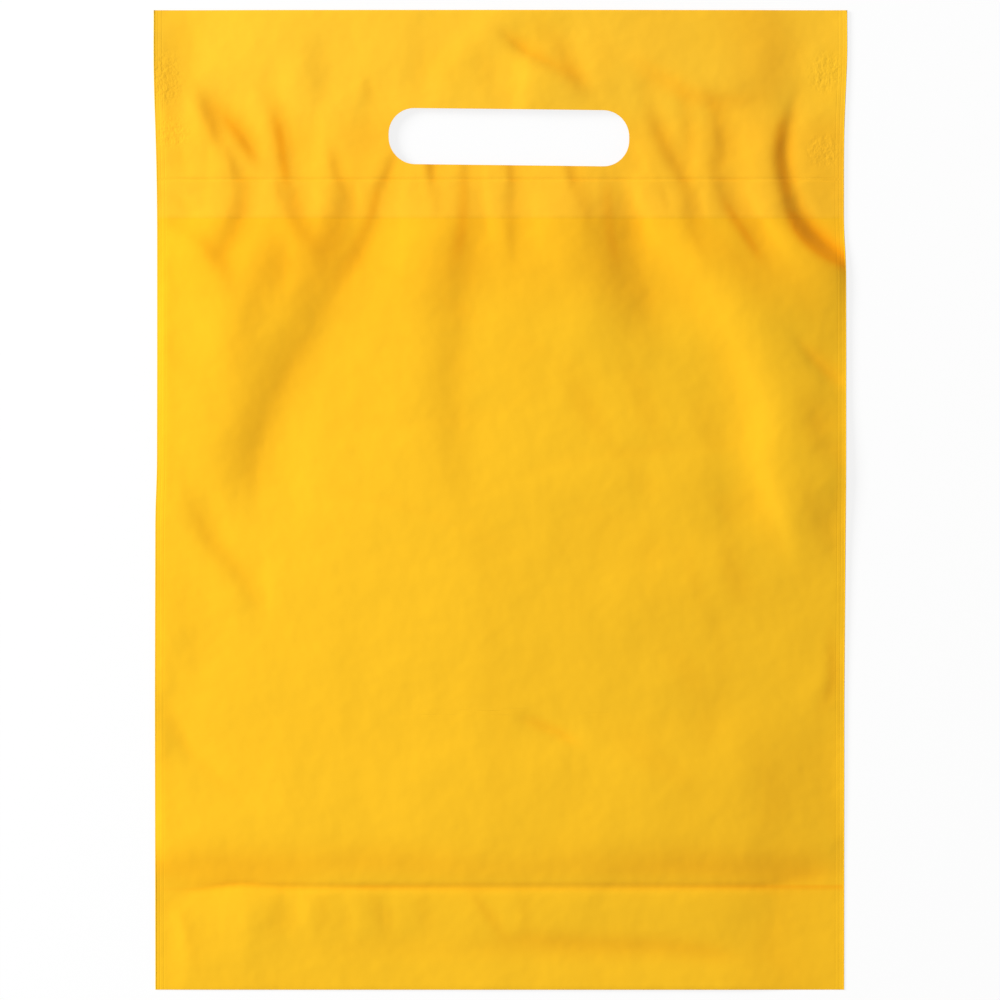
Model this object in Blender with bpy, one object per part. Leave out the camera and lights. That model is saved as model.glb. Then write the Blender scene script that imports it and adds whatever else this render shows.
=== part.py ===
"""Plastic carrier bag with a punched hand slot, lying on its back with its mouth a little ajar.

The bag is one length of film, 300 mm wide. From one cut edge to the other it makes the front hem,
the front, a gusset folded up between front and back, the back, and the back hem. Its two sides are
cut and welded in one stroke, a line weld holds each hem, and the hand slot is punched through all
four layers of the hems.

Metres. X runs across the bag, +Y up to its mouth and +Z out of its front. The origin is under the
middle of the bag, on the surface that it lies on.
"""

import math

import bmesh
import bpy

# The bag as it lies flat
BAG_WIDTH = 0.300
BAG_HEIGHT = 0.425

# The film, and the air left between two layers that lie on each other
FILM = 0.00006
LAYER_GAP = 0.00010

# The turned-in hems: their depth, and the strip below the line weld that hangs free
HEM_DEPTH = 0.090
HEM_FREE_STRIP = 0.017
LINE_WELD_WIDTH = 0.0008

# The hand slot, and the film left between its lower edge and the line weld
SLOT_LENGTH = 0.105
SLOT_HEIGHT = 0.025
SLOT_CORNER_RADIUS = 0.0115
SLOT_ABOVE_WELD = 0.0053

# The gusset: how far its inner fold reaches up from the bottom edge
GUSSET_DEPTH = 0.045

# The bead along each side weld, and how far it stands proud of the film on either face
BEAD_WIDTH = 0.0015
BEAD_PROUD = 0.00002

# The air inside: how far it lifts the middle of the front, and the length of the rise from the bottom
SWELL_HEIGHT = 0.0110
SWELL_RISE = 0.075
SWELL_SQUARENESS = 4

# How finely the curves are divided
FOLD_STEPS = 4
HALF_WIDTH_STEPS = 10
RISE_STEPS = 9
SLOT_CORNER_STEPS = 10
LONGEST_ROW = 0.045

FILM_COLOUR = (0.95, 0.52, 0.025, 1.0)
FILM_ROUGHNESS = 0.38

HALF_WIDTH = BAG_WIDTH / 2
TOP = BAG_HEIGHT / 2
BOTTOM = -TOP
LAYER_STEP = FILM + LAYER_GAP
HEM_EDGE = TOP - HEM_DEPTH
WELD_LINE = HEM_EDGE + HEM_FREE_STRIP
SLOT_MIDDLE = WELD_LINE + LINE_WELD_WIDTH / 2 + SLOT_ABOVE_WELD + SLOT_HEIGHT / 2

# The layers of a hem or of the gusset, counted up from the surface that the bag lies on
BACK, BACK_INNER, FRONT_INNER, FRONT = range(4)


def clear_scene():
    for thing in list(bpy.data.objects):
        bpy.data.objects.remove(thing, do_unlink=True)


def film_material():
    material = bpy.data.materials.new("yellow_film")
    material.use_nodes = True
    shader = material.node_tree.nodes["Principled BSDF"]
    shader.inputs["Base Color"].default_value = FILM_COLOUR
    shader.inputs["Roughness"].default_value = FILM_ROUGHNESS
    shader.inputs["Metallic"].default_value = 0.0
    return material


def swell(x, y):
    """How far the air lifts the front: not at the side welds or the bottom, most in the middle."""
    across = min(abs(x) / (HALF_WIDTH - BEAD_WIDTH), 1.0)
    along = min(max((y - BOTTOM) / SWELL_RISE, 0.0), 1.0)
    rise = 0.5 - 0.5 * math.cos(math.pi * along)
    return SWELL_HEIGHT * rise * (1.0 - across**SWELL_SQUARENESS)


def height(x, y, layer):
    """Height of the middle of the film. The front and its hem are lifted, and the rest lies flat."""
    flat = BEAD_PROUD + FILM / 2 + layer * LAYER_STEP
    is_front_hem = layer > BACK_INNER and y > 0.0
    is_lifted = layer > FRONT_INNER or is_front_hem
    return flat + swell(x, y) if is_lifted else flat


def run(start, end, layer, steps=None):
    """Points of one layer from y = start to y = end."""
    steps = steps or max(1, math.ceil(abs(end - start) / LONGEST_ROW))
    return [(start + (end - start) * i / steps, layer) for i in range(steps + 1)]


def half_turn(y, outward, first, last):
    """A fold from one layer to the next. It starts and ends at y, and bulges outward along Y."""
    points = []
    for i in range(1, FOLD_STEPS):
        turn = math.pi * i / FOLD_STEPS
        share = 0.5 - 0.5 * math.cos(turn)
        bulge = outward * LAYER_STEP / 2 * math.sin(turn)
        points.append((y + bulge, first + (last - first) * share))
    return points


def film_path():
    """The film's section as (y, layer) points, from the front hem's cut edge to the back hem's."""
    fold_depth = LAYER_STEP / 2 + FILM / 2 + BEAD_PROUD
    top, bottom = TOP - fold_depth, BOTTOM + fold_depth
    gusset = BOTTOM + GUSSET_DEPTH - fold_depth
    rise_end = BOTTOM + SWELL_RISE

    path = run(HEM_EDGE, top, FRONT_INNER)
    path += half_turn(top, 1, FRONT_INNER, FRONT)
    path += run(top, rise_end, FRONT)
    path += run(rise_end, bottom, FRONT, RISE_STEPS)[1:]
    path += half_turn(bottom, -1, FRONT, FRONT_INNER)
    path += run(bottom, gusset, FRONT_INNER)
    path += half_turn(gusset, 1, FRONT_INNER, BACK_INNER)
    path += run(gusset, bottom, BACK_INNER)
    path += half_turn(bottom, -1, BACK_INNER, BACK)
    path += run(bottom, top, BACK)
    path += half_turn(top, 1, BACK, BACK_INNER)
    path += run(top, HEM_EDGE, BACK_INNER)
    return path


def stations():
    """Places across the bag, closer together towards the side welds. The ends lie inside the beads."""
    inner = HALF_WIDTH - BEAD_WIDTH
    steps = range(-HALF_WIDTH_STEPS, HALF_WIDTH_STEPS + 1)
    places = [inner * math.sin(math.pi / 2 * i / HALF_WIDTH_STEPS) for i in steps]
    end = HALF_WIDTH - BEAD_WIDTH / 2
    return [-end] + places + [end]


def new_object(name, mesh):
    body = bpy.data.objects.new(name, mesh)
    bpy.context.scene.collection.objects.link(body)
    return body


def lofted(name, sections, is_closed):
    """A mesh through matching rows of points. A closed one has rings for sections, and two caps."""
    shape = bmesh.new()
    rows = [[shape.verts.new(point) for point in section] for section in sections]
    count = len(rows[0])
    for near, far in zip(rows, rows[1:]):
        for i in range(count if is_closed else count - 1):
            j = (i + 1) % count
            shape.faces.new((near[i], near[j], far[j], far[i]))
    if is_closed:
        shape.faces.new(rows[0])
        shape.faces.new(rows[-1])
        bmesh.ops.recalc_face_normals(shape, faces=shape.faces)
    mesh = bpy.data.meshes.new(name)
    shape.to_mesh(mesh)
    shape.free()
    return new_object(name, mesh)


def film_sheet():
    """The whole length of film, laid along its path and given its thickness."""
    path = film_path()
    sections = [[(x, y, height(x, y, layer)) for y, layer in path] for x in stations()]
    sheet = lofted("carrier_bag", sections, is_closed=False)
    sheet.data.shade_smooth()
    wall = sheet.modifiers.new("film", "SOLIDIFY")
    wall.thickness = FILM
    wall.offset = 0.0
    wall.use_even_offset = True
    return sheet


def side_bead(name, side):
    """The bead of a side weld, which holds the edges of every layer from bottom to mouth."""
    outer = side * HALF_WIDTH
    inner = side * (HALF_WIDTH - BEAD_WIDTH)
    thickness = 2 * BEAD_PROUD + FILM + 3 * LAYER_STEP
    sections = []
    for y in (BOTTOM, TOP):
        sections.append([(outer, y, 0.0), (inner, y, 0.0), (inner, y, thickness), (outer, y, thickness)])
    return lofted(name, sections, is_closed=True)


def line_weld(name, low_layer, high_layer):
    """The weld across a hem. It joins the middle of the hem's film to the middle of the film over it."""
    low_y, high_y = WELD_LINE - LINE_WELD_WIDTH / 2, WELD_LINE + LINE_WELD_WIDTH / 2
    sections = []
    for x in stations():
        corners = ((low_y, low_layer), (high_y, low_layer), (high_y, high_layer), (low_y, high_layer))
        sections.append([(x, y, height(x, y, layer)) for y, layer in corners])
    return lofted(name, sections, is_closed=True)


def slot_punch():
    """The punch for the hand slot, which goes through all four layers."""
    radius = min(SLOT_CORNER_RADIUS, SLOT_HEIGHT / 2)
    outline = []
    for quarter in range(4):
        across = 1 if quarter in (0, 3) else -1
        along = 1 if quarter < 2 else -1
        centre_x = across * (SLOT_LENGTH / 2 - radius)
        centre_y = SLOT_MIDDLE + along * (SLOT_HEIGHT / 2 - radius)
        for i in range(SLOT_CORNER_STEPS + 1):
            turn = math.pi / 2 * (quarter + i / SLOT_CORNER_STEPS)
            outline.append((centre_x + radius * math.cos(turn), centre_y + radius * math.sin(turn)))
    low, high = -SWELL_HEIGHT, 2 * SWELL_HEIGHT
    sections = [[(x, y, z) for x, y in outline] for z in (low, high)]
    return lofted("slot_punch", sections, is_closed=True)


def combine(body, tool, operation):
    """Welds a tool on to the body, or cuts it out. The tool itself isn't part of the bag."""
    step = body.modifiers.new(tool.name, "BOOLEAN")
    step.operation = operation
    step.solver = "EXACT"
    step.object = tool
    tool.hide_render = True
    tool.display_type = "WIRE"


def build_bag():
    bag = film_sheet()
    combine(bag, side_bead("left_bead", -1), "UNION")
    combine(bag, side_bead("right_bead", 1), "UNION")
    combine(bag, line_weld("back_line_weld", BACK, BACK_INNER), "UNION")
    combine(bag, line_weld("front_line_weld", FRONT_INNER, FRONT), "UNION")
    combine(bag, slot_punch(), "DIFFERENCE")
    bag.data.materials.append(film_material())
    return bag


clear_scene()
build_bag()
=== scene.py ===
# %% [markdown]
# # A plastic carrier bag, from a flat length of film
#
# This lesson makes one thin thing look real: a yellow carrier bag that lies on its back. A real bag
# starts as a flat length of film. Machines fold its two ends in as hems, weld each hem along a line,
# fold the bottom up into a gusset, weld and cut the sides, and punch a slot for the hand. We go the
# same way: a flat grid of points first, then the folds of the factory, and last the creases that come
# from carrying, which do most of the work in a photograph.

import math

import bmesh
import bpy
import numpy as np
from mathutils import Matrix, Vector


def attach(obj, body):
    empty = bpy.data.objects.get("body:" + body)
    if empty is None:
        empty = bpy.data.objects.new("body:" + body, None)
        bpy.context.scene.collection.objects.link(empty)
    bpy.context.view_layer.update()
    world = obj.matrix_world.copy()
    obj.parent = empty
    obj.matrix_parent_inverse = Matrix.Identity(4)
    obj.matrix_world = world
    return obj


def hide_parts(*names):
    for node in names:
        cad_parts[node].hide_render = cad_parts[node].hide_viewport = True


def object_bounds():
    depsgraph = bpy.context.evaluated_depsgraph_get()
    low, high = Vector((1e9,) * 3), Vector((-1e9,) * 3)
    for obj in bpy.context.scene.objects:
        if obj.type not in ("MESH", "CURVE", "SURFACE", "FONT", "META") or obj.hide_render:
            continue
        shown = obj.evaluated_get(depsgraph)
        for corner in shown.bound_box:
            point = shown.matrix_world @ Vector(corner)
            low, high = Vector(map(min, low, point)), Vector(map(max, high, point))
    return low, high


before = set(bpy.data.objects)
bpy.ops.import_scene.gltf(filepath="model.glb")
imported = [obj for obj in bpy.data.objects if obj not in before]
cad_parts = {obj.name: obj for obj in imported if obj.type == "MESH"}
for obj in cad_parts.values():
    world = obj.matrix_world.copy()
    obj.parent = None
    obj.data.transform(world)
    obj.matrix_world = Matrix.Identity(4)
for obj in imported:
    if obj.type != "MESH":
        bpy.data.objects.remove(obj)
cad_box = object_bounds()
(cad_low, cad_high) = cad_box
print("the solid bag fills", [round(high - low, 4) for low, high in zip(cad_low, cad_high)])

# %% [markdown]
# ## The flat film
#
# All sizes that a ruler would read off the bag are in millimetres here, across from its left side
# weld and down from its mouth. They are turned into metres only where a point gets its place in the
# frame. The blank is as wide as the bag, and along it lie the stretches that the folds part: the front
# hem, the front, the two leaves of the gusset, the back and the back hem.

# %% sizes that a ruler reads
MM = 0.001
WIDTH = (cad_high[0] - cad_low[0]) / MM
HEIGHT = (cad_high[1] - cad_low[1]) / MM
MOUTH_Y = cad_high[1]
LEFT_X = cad_low[0]
HEM_DEPTH = 90.0
WELD_DOWN = 73.4
GUSSET_DEPTH = 45.0
GUSSET_DOWN = HEIGHT - GUSSET_DEPTH
SLOT_LENGTH, SLOT_HEIGHT, SLOT_CORNER = 104.8, 24.3, 11.4
SLOT_ACROSS, SLOT_DOWN = 153.9, 55.2
SLOT_TILT = 0.0115

# %% [markdown]
# ### Where the rows of the grid lie
#
# A mesh that bends finely needs its points close together, and a flat one doesn't. So each stretch of
# the film has its own spacing: tight at the hem, where the hand has gathered the film, wide on the
# back, which lies flat and unseen. Each row also says how high the film lies between the back, which
# is 0, and the front, which is 1.

# %% rows of one stretch, and rows of a fold
TURN_STEPS = 4
TURN_BULGE = 0.15


def stretch(start, end, spacing, first_share, last_share):
    """Rows from one place down the bag to another, with the share changing evenly."""
    count = max(1, round(abs(end - start) / spacing))
    steps = np.arange(count + 1) / count
    return [(start + (end - start) * t, first_share + (last_share - first_share) * t) for t in steps]


def panel(spans, share):
    """Rows of one layer, from stretches that follow each other: (start, end, spacing) each."""
    rows = stretch(*spans[0], share, share)
    for span in spans[1:]:
        rows += stretch(*span, share, share)[1:]
    return rows


def turn(down, outward, first_share, last_share):
    """The rows of a fold, which bulge past the layers that it joins."""
    rows = []
    for i in range(1, TURN_STEPS):
        angle = math.pi * i / TURN_STEPS
        part = 0.5 - 0.5 * math.cos(angle)
        bulge = outward * TURN_BULGE * math.sin(angle)
        rows.append((down + bulge, first_share + (last_share - first_share) * part))
    return rows


print("each fold takes", len(turn(0, 1, 0, 1)), "rows")

# %% the layers' shares, and where the film is creased finely
FRONT, FRONT_HEM, BACK_HEM, BACK = 1.0, 0.93, 0.07, 0.0
LEAF_FRONT, LEAF_FOLD, LEAF_BACK = 0.80, 0.50, 0.20
LEAF_TURN = 0.05
MOUTH, FOOT = TURN_BULGE, HEIGHT - TURN_BULGE
GUSSET_TURN = GUSSET_DOWN + 1
SLOT_TOP, SLOT_FOOT = 35, 75
WELD_TOP, WELD_FOOT = 71, 76
EDGE_FOOT = HEM_DEPTH + 1.2
GATHERED_FOOT = 130
GUSSET_TOP, GUSSET_FOOT = 368, 400
HEM_SPACING, LEAF_SPACING = 2.6, 6.0
FRONT_SPANS = (
    (MOUTH, WELD_TOP, 1.3),
    (WELD_TOP, WELD_FOOT, 0.5),
    (WELD_FOOT, HEM_DEPTH, 1.25),
    (HEM_DEPTH, EDGE_FOOT, 0.4),
    (EDGE_FOOT, GATHERED_FOOT, 1.35),
    (GATHERED_FOOT, GUSSET_TOP, 2.1),
    (GUSSET_TOP, GUSSET_FOOT, 1.1),
    (GUSSET_FOOT, FOOT, 2.0),
)
BACK_SPANS = ((FOOT, SLOT_FOOT, 12.0), (SLOT_FOOT, SLOT_TOP, 1.6), (SLOT_TOP, MOUTH, 8.0))
BACK_HEM_SPANS = ((MOUTH, SLOT_TOP, 8.0), (SLOT_TOP, SLOT_FOOT, 1.6), (SLOT_FOOT, HEM_DEPTH, 7.5))
print("the front has", len(panel(FRONT_SPANS, FRONT)), "rows, and the back", len(panel(BACK_SPANS, BACK)))

# %% the whole blank, from the edge of the front hem to the edge of the back hem
COLUMNS = 232

blank = panel([(HEM_DEPTH, MOUTH, HEM_SPACING)], FRONT_HEM)
blank += turn(MOUTH, -1, FRONT_HEM, FRONT)
blank += panel(FRONT_SPANS, FRONT)
blank += turn(FOOT, 1, FRONT, LEAF_FRONT)
blank += stretch(FOOT, GUSSET_TURN, LEAF_SPACING, LEAF_FRONT, LEAF_FOLD + LEAF_TURN)
blank += turn(GUSSET_TURN, -1, LEAF_FOLD + LEAF_TURN, LEAF_FOLD - LEAF_TURN)
blank += stretch(GUSSET_TURN, FOOT, LEAF_SPACING, LEAF_FOLD - LEAF_TURN, LEAF_BACK)
blank += turn(FOOT, 1, LEAF_BACK, BACK)
blank += panel(BACK_SPANS, BACK)
blank += turn(MOUTH, -1, BACK, BACK_HEM)
blank += panel(BACK_HEM_SPANS, BACK_HEM)
row_down = np.array([down for down, share in blank])
row_share = np.array([share for down, share in blank])
row_along = np.concatenate([[0.0], np.cumsum(np.abs(np.diff(row_down)))])
print(len(blank), "rows, and the blank is", round(row_along[-1]), "mm long")

# %% [markdown]
# ## Creases, drawn one by one
#
# Cloth simulation makes soft folds, but a welded film holds stiff, odd ones, and we want the ones in
# the photograph. So we draw them. A slope is a strip along a drawn line where the film falls to the
# right, or rises if its fall is negative, and it comes back slowly on both sides. A crease is a ridge
# or a valley with a sharp line, and with a long or a short flank on either side. Both fade at their
# ends. Left and right are the reader's for a line that is drawn down the bag, and turn with the line.
#
# A slope that falls is one that was pressed in, and its face is turned away from the lamp. As well as
# its height it leaves painted shade there, a deeper orange colour along the slope. That colour does a
# part of the shading, and a pressed slope gets a smaller gain than a proud one, which is a matter of
# height alone.

# %% lines through points
FADE, LONGEST_FADE = 0.28, 26.0
STEP_ALONG, LEAST_STEPS = 2.5, 8


def through(points):
    """A smooth line through (across, down) or (across, down, strength), as many even steps.

    Gives the places, the directions and the strengths of the steps, and the line's length.
    """
    corners = np.array([point if len(point) == 3 else (*point, 1.0) for point in points], float)
    gaps = np.hypot(*(corners[1:, :2] - corners[:-1, :2]).T)
    lengths = np.concatenate([[0.0], np.cumsum(gaps)])
    total, last = lengths[-1], len(corners) - 1
    count = max(LEAST_STEPS, int(total / STEP_ALONG) + 1)
    at = (np.arange(count) + 0.5) / count * total
    headings = np.empty((last + 1, 2))
    headings[1:-1] = (corners[2:, :2] - corners[:-2, :2]) / (lengths[2:] - lengths[:-2])[:, None]
    headings[0] = (corners[1, :2] - corners[0, :2]) / gaps[0]
    headings[-1] = (corners[-1, :2] - corners[-2, :2]) / gaps[-1]
    i = np.clip(np.searchsorted(lengths, at, side="right") - 1, 0, last - 1)
    gap = gaps[i][:, None]
    t = (at - lengths[i])[:, None] / gap
    start, end = corners[i, :2], corners[i + 1, :2]
    places = (2 * t**3 - 3 * t**2 + 1) * start + (3 * t**2 - 2 * t**3) * end
    places += (t**3 - 2 * t**2 + t) * gap * headings[i] + (t**3 - t**2) * gap * headings[i + 1]
    fade = np.clip(np.minimum(at, total - at) / min(FADE * total, LONGEST_FADE), 0, 1)
    strengths = np.interp(at, lengths, corners[:, 2]) * fade * fade * (3 - 2 * fade)
    directions = np.gradient(places, axis=0)
    directions /= np.hypot(*directions.T)[:, None]
    return places, directions, strengths, total


print("a line as long as the bag is wide gets", len(through([(0, 0), (WIDTH, 0)])[0]), "steps")

# %% the two kinds of fold, each with its section and the painted shade that it leaves
PRESSED_GAIN, PROUD_GAIN = 0.75, 1.1
SLOPE_SHADE_PAINT = 0.85
WAY_BACK = 7.0
SLOPE_REACH, CREASE_REACH = 3.0, 4.5
ROUNDING = 0.25
folds = []


def slope(name, fall, width, *points):
    """A strip of this half-width, along the line, that falls to the right at this rate."""
    gain = PRESSED_GAIN if fall > 0 else PROUD_GAIN

    def section(off):
        return gain * fall * width * (np.tanh(off / width) - np.tanh(off / (WAY_BACK * width)))

    # Painted shade: a colour that deepens along a falling slope, whose face is turned from the lamp.
    def painted_shade(off):
        return SLOPE_SHADE_PAINT * max(fall, 0) * (1 - np.tanh(off / width) ** 2)

    folds.append((name, points, SLOPE_REACH * WAY_BACK * width, section, painted_shade))


def crease(name, rise, left, right, *points):
    """A ridge, or with a negative rise a valley, whose flanks reach this far to its left and right."""
    rounding = ROUNDING * min(left, right)

    def section(off):
        reach = np.where(off > 0, left, right)
        return rise * np.exp(-(np.sqrt(off * off + rounding**2) - rounding) / reach)

    folds.append((name, points, CREASE_REACH * max(left, right), section, np.zeros_like))


# %% what all the folds do to a point
# The weight of a step reaches this part of its line's length, within these limits.
BLEND_PARTS, LEAST_BLEND, MOST_BLEND = 7, 1.6, 7.0


def folded(across, down):
    """The height that all the folds add up to, in millimetres, and the painted shade that they leave.

    Each step of a line works on the points beside it, with a weight that falls off along the line.
    Where a line bends, more steps reach the points on the inner side, so their sum is divided by the
    weights that a point really met, or by those of a straight line where it met fewer.
    """
    height, painted_shade_total = np.zeros_like(across), np.zeros_like(across)
    for name, points, reach, section, painted_shade in folds:
        places, directions, strengths, total = through(points)
        blend = min(max(total / BLEND_PARTS, LEAST_BLEND), MOST_BLEND)
        low, high = places.min(0) - reach, places.max(0) + reach
        near = (across > low[0]) & (across < high[0]) & (down > low[1]) & (down < high[1])
        x, y = across[near], down[near]
        added, painted_shade_added, weights = np.zeros(len(x)), np.zeros(len(x)), np.zeros(len(x))
        for (px, py), (tx, ty), strength in zip(places, directions, strengths):
            along = (x - px) * tx + (y - py) * ty
            off = (y - py) * tx - (x - px) * ty
            weight = np.exp(-0.5 * (along / blend) ** 2)
            added += strength * section(off) * weight
            painted_shade_added += strength * painted_shade(off) * weight
            weights += weight
        full_weight = blend * math.sqrt(2 * math.pi) * len(places) / total
        height[near] += added / np.maximum(weights, full_weight)
        painted_shade_total[near] += painted_shade_added / np.maximum(weights, full_weight)
    return height, painted_shade_total


# %% a helper that says how far the drawing has come


def tell(where):
    print(len(folds), "folds drawn, with those of", where)


# %% [markdown]
# ### The hem
#
# Four layers lie on each other here, so the hem is stiff and creases little. What there is comes
# from fingers: puckers that run away from the slot, an arc above it, and a dented corner at either
# end. Lines are drawn from above downwards where they can be, so that a fall is a face turned away
# from the lamp, and reads as shade.

# %% folds: the hem, left of the hand slot
slope("corner_dip", 0.20, 4.5, (4, 6, 0.4), (5, 20, 0.6), (5, 34), (6, 44), (7, 56, 0.5), (8, 66, 0.3))
slope("corner_rise", -0.08, 6, (18, -4), (19, 12), (20, 24), (20, 36))
slope("corner_fold_low", 0.50, 3.4, (18, 34), (21.5, 42), (25, 50), (28, 60))
crease("corner_fold_valley", -0.35, 3.6, 4.0, (26, 40), (32, 48), (37, 53), (41, 59), (45, 66))
slope("corner_fold_middle", 0.38, 4.0, (25, 39), (31, 46), (36, 53), (40.5, 60), (45, 69))
slope("corner_fold_high", 0.33, 4.2, (46, 33), (50, 42), (53, 50), (54.5, 59), (56, 68), (58, 77, 0.8))
slope("facet_face", -0.07, 5.5, (60, 12), (57, 26), (56, 38), (58, 52))
slope("facet_back", 0.12, 5, (65, 12), (70, 24), (70, 34), (67, 46))
slope("left_bulge_face", -0.06, 4, (73, 34), (72, 50), (71, 62), (69, 76))
slope("left_bulge_back", 0.09, 7, (93, 26), (92, 37), (89, 48), (88, 60), (90, 76))
slope("left_bulge_nip", 0.14, 2, (91, 28), (92, 35), (92, 42))
slope("left_pucker_a", 0.24, 2.2, (30, 58), (33, 66), (35, 76))
slope("left_pucker_b", 0.26, 2.0, (75, 58), (77, 66), (79, 74), (82, 82, 0.8))
slope("left_shine_a", -0.10, 3, (11, 56), (13, 65), (15, 76))
slope("left_shine_b", -0.07, 2.2, (24, 58), (24, 66), (24, 80))
slope("side_shine", -0.14, 3, (-2, 76), (6, 78), (14, 83), (18, 90))
slope("side_tuck", 0.14, 2.6, (2, 90), (10, 95), (18, 100), (24, 106))
slope("hem_left_face", -0.05, 14, (36, -20), (36, 10), (38, 40))
tell("the hem's left")

# %% folds: the hem, round the hand slot
slope("slot_pucker_a", 0.30, 2.2, (104, 60), (101, 68), (98, 75), (95, 82, 0.7))
slope("slot_pucker_b", 0.42, 1.8, (118, 60), (119, 68), (120, 76))
slope("slot_pucker_c", 0.16, 2.4, (133, 60), (134, 70), (134, 80))
slope("slot_pucker_d", 0.28, 1.8, (151, 60), (154, 69), (155, 78))
slope("slot_pucker_e", 0.26, 2.0, (177, 60), (180, 69), (182, 78))
slope("arc_back_left", 0.09, 5, (108, 0), (113, 16), (112, 30), (113, 44))
slope("arc_face", -0.08, 5, (152, -4), (134, 12), (124, 24), (119, 36), (119, 48))
slope("arc_back_right", 0.08, 5, (144, 8), (142, 22), (145, 34), (148, 46))
slope("peak_face", -0.13, 4.0, (164, 12), (161, 24), (159, 34), (158, 50))
crease("peak_valley", -0.9, 2.8, 4.0, (150, 7), (156, 14), (163, 19), (170, 23), (178, 27, 0.6),
       (187, 34, 0.1))
slope("peak_top_lee", 0.09, 4, (166, 0), (167, 12), (167, 24))
slope("peak_back", 0.34, 3.2, (148, 6), (155, 14), (163, 19), (170, 23), (178, 27), (186, 33, 0.6),
      (193, 42, 0.4))
slope("peak_back_high", 0.26, 4.2, (170, 10), (177, 20), (181, 28), (186, 38))
slope("peak_lee", 0.10, 5, (190, 4), (193, 18), (195, 30), (198, 42))
tell("the hem round the slot")

# %% folds: the hem, right of the hand slot
slope("right_bulge_face", -0.07, 3, (201, 48), (208, 58), (213, 67), (217, 78))
slope("right_facet_face", -0.06, 3.2, (214, 28), (221, 40), (224, 50), (226, 60))
slope("right_crescent", 0.30, 2.8, (212, 38), (216, 48), (220, 57), (224, 65), (230, 76), (233, 86, 0.5))
slope("right_dip_a", 0.14, 3, (227, 30), (230, 44), (232, 54), (232, 66))
slope("right_shine_a", -0.08, 3, (235, 44), (235, 56), (235, 68), (236, 80))
slope("right_dip_b", 0.25, 3.2, (239, 34), (243, 46), (245, 58), (244, 68), (245, 77, 0.8))
slope("right_shine_b", -0.06, 5, (256, 40), (256, 54), (258, 66), (260, 78))
slope("corner_edge", 0.17, 9, (265, -10), (269, 8), (270, 22), (267, 36), (264, 50, 0.7))
slope("corner_foot", 0.32, 3.6, (265, 38), (248, 39), (234, 36), (224, 31), (213, 25), (204, 19))
slope("right_hem_lee", 0.07, 14, (214, -20), (214, 0), (214, 12), (215, 26), (216, 40))
slope("corner_blob", -0.06, 4.5, (285, 12), (282, 24), (281, 32))
slope("corner_edge_low", 0.05, 7, (291, 34), (289, 50), (288, 66), (290, 82), (294, 94))
tell("the hem's right")

# %% [markdown]
# ### Below the line weld
#
# The weld holds the front to its hem, and the weight that the bag has carried pulled on it there. So
# the film gathers into short, steep folds, with bright faces between them, and they start at the
# weld and run out on the front. Each is a slope of its own. Repeating one fold would show at once.

# %% folds: the free strip of the hem, between the line weld and the cut edge
slope("gather_a", 0.34, 4.2, (35, 68), (36, 80), (34, 89), (30, 98), (25, 109))
slope("gather_b", 0.16, 1.5, (52, 72), (53, 78), (53, 84))
slope("gather_c", 0.38, 4.2, (57, 72), (58, 82), (60, 90), (65, 98), (70, 106))
slope("gather_d", 0.26, 6.0, (80, 72), (81, 80), (79, 88), (75, 98), (70, 112))
slope("gather_f", 0.12, 2.4, (119, 72), (121, 80), (124, 90))
slope("gather_h", 0.22, 2.8, (154, 70), (154, 82), (154, 92), (155, 112))
slope("gather_i", 0.16, 3.4, (180, 70), (184, 79), (187, 86), (189, 96))
slope("gather_k", 0.10, 1.8, (219, 73), (221, 81), (223, 90))
slope("gather_l", 0.18, 3.2, (228, 76), (231, 85), (233, 93), (236, 101), (242, 110))
slope("shine_a", -0.06, 3, (22, 70), (22, 82), (20, 96))
slope("shine_c", -0.08, 2.8, (69, 70), (70, 82), (69, 92))
slope("shine_d", -0.10, 1.7, (87, 72), (88, 81), (88, 90))
slope("shine_e", -0.06, 4, (104, 68), (106, 82), (107, 92), (105, 112))
slope("shine_f", -0.12, 2.4, (143, 68), (144, 80), (145, 90), (147, 102))
slope("shine_g", -0.08, 4, (165, 68), (166, 82), (167, 95), (170, 116))
slope("shine_h", -0.20, 3.6, (206, 70), (210, 83), (213, 91), (217, 104))
slope("shine_i", -0.12, 2.4, (239, 74), (239, 84), (241, 94))
slope("shine_j", -0.14, 3.2, (253, 70), (259, 81), (264, 89), (270, 98), (276, 108))
tell("the hem's free strip")

# %% [markdown]
# ### The long pleats
#
# Three pleats run down from the gathers, and at the right a deep pinch crosses the side weld. A
# single slope is too plain for them. Each is made of a wide valley, a band on its shaded side, and
# a narrow core where it is sharpest. That is also how to draw any large fold: broad form first,
# then its edge.

# %% folds: the long pleats that run down from the hem
crease("left_pleat", -0.8, 10, 30, (101, 74, 0.4), (98, 86), (93, 98), (86, 112), (77, 126), (69, 140),
       (60, 155), (54, 167), (49, 180), (45, 194), (43, 208, 0.8), (44, 226, 0.4))
slope("left_pleat_band", 0.25, 12.5, (88, 80, 0.4), (83, 94, 0.8), (75, 106, 0.8), (69, 120, 0.9),
      (61.5, 140), (51, 160), (41, 179), (36, 198, 0.8), (38, 214, 0.7), (42, 226, 0.3))
slope("left_pleat_core", 0.20, 3.4, (98, 72, 0.7), (96, 82), (92.5, 93), (87, 103, 0.8), (80, 113, 0.8),
      (74, 124, 0.5))
slope("centre_pleat_band", 0.19, 11, (138, 76, 0.5), (136, 92), (132, 105), (128, 118), (126.5, 134, 0.9),
      (124, 160, 0.8), (126, 182, 0.5), (129, 204, 0.3), (139, 228, 0.15), (146, 256, 0.05))
crease("centre_pleat", -0.5, 10, 24, (139, 80, 0.5), (138, 96), (137, 110), (134, 126), (132, 150, 0.8),
       (132, 180, 0.6), (137, 206, 0.4), (143, 230, 0.3), (150, 256, 0.2))
slope("centre_pleat_core", 0.10, 3.8, (134, 72), (134, 84), (133, 94), (130, 106), (127, 116, 0.6))
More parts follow.
